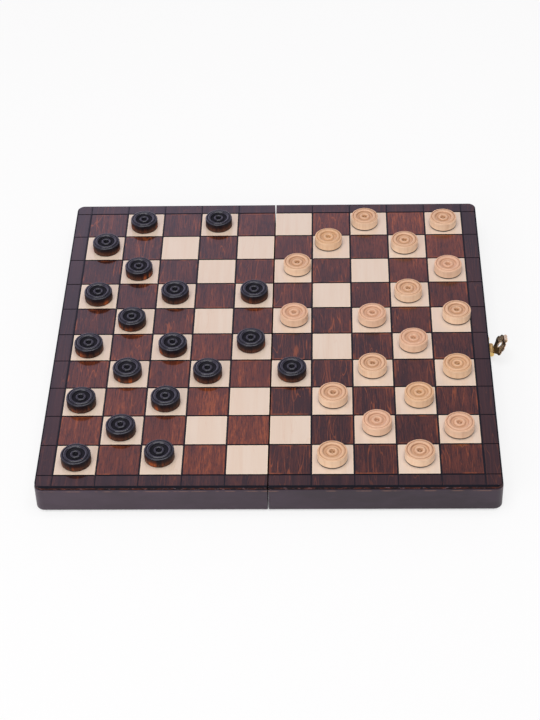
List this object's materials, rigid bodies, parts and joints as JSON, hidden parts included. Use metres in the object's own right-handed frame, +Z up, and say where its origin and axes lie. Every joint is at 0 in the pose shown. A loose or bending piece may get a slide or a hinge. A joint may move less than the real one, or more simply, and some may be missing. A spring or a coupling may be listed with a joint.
{
  "type": "magnetic draughts set",
  "caption": "Folding wooden box-board for ten-by-ten draughts, open flat with turned magnetic men on its light squares and a hinged brass hasp.",
  "frame": {"origin": "middle of the fold, in the plane of the rims that the open board stands on", "axes": "+Z up out of the playing surface, -Y towards the front, +X across the fold towards the half with the hasp"},
  "size_m": [0.3703, 0.3496, 0.0341],
  "materials": {
    "stained_panel": "gloss lacquer over stained and bare squares",
    "stained_rail": "satin lacquer, dark brown stain",
    "dark_man": "satin lacquer, near-black stain",
    "light_man": "clear satin lacquer",
    "steel_sheet": "cold-rolled sheet",
    "magnet": "nickel-plated disc",
    "felt": "dark green felt",
    "hinge_brass": "brass-plated",
    "hasp_bronze": "antique bronze, worn to brass at the barrel"
  },
  "bodies": {
    "right_half": {"right_panel": "stained_panel", "right_steel_sheet": "steel_sheet", "right_lining": "felt", "right_front_rail": "stained_rail", "right_back_rail": "stained_rail", "right_outer_rail": "stained_rail", "right_fold_rail": "stained_rail", "light_man_01": "light_man", "light_man_02": "light_man", "light_man_03": "light_man", "light_man_04": "light_man", "light_man_05": "light_man", "light_man_06": "light_man", "light_man_07": "light_man", "light_man_08": "light_man", "light_man_09": "light_man", "light_man_10": "light_man", "light_man_11": "light_man", "light_man_12": "light_man", "light_man_13": "light_man", "light_man_14": "light_man", "light_man_15": "light_man", "light_man_16": "light_man", "light_man_17": "light_man", "light_man_18": "light_man", "dark_man_19": "dark_man", "light_man_19": "light_man", "hinge_right_leaves": "hinge_brass", "hinge_pins": "hinge_brass", "hasp_plate": "hinge_brass", "right_men_magnets": "magnet"},
    "left_half": {"left_panel": "stained_panel", "left_steel_sheet": "steel_sheet", "left_lining": "felt", "left_front_rail": "stained_rail", "left_back_rail": "stained_rail", "left_outer_rail": "stained_rail", "left_fold_rail": "stained_rail", "dark_man_01": "dark_man", "dark_man_02": "dark_man", "dark_man_03": "dark_man", "dark_man_04": "dark_man", "dark_man_05": "dark_man", "dark_man_06": "dark_man", "dark_man_07": "dark_man", "dark_man_08": "dark_man", "dark_man_09": "dark_man", "dark_man_10": "dark_man", "dark_man_11": "dark_man", "dark_man_12": "dark_man", "dark_man_13": "dark_man", "dark_man_14": "dark_man", "dark_man_15": "dark_man", "dark_man_16": "dark_man", "dark_man_17": "dark_man", "dark_man_18": "dark_man", "hinge_left_leaves": "hinge_brass", "hasp_catch": "hinge_brass", "left_men_magnets": "magnet"},
    "hasp": {"hasp_flap": "hasp_bronze"}
  },
  "joints": [
    {"name": "fold", "type": "hinge", "parent": "right_half", "child": "left_half", "pos_m": [0, 0, -0.00015], "axis": [0, 1, 0], "range_deg": [-180, 0]},
    {"name": "hasp_swing", "type": "hinge", "parent": "right_half", "child": "hasp", "pos_m": [0.1782, 0, 0.0054], "axis": [0, 1, 0], "range_deg": [-40, 140]}
  ]
}
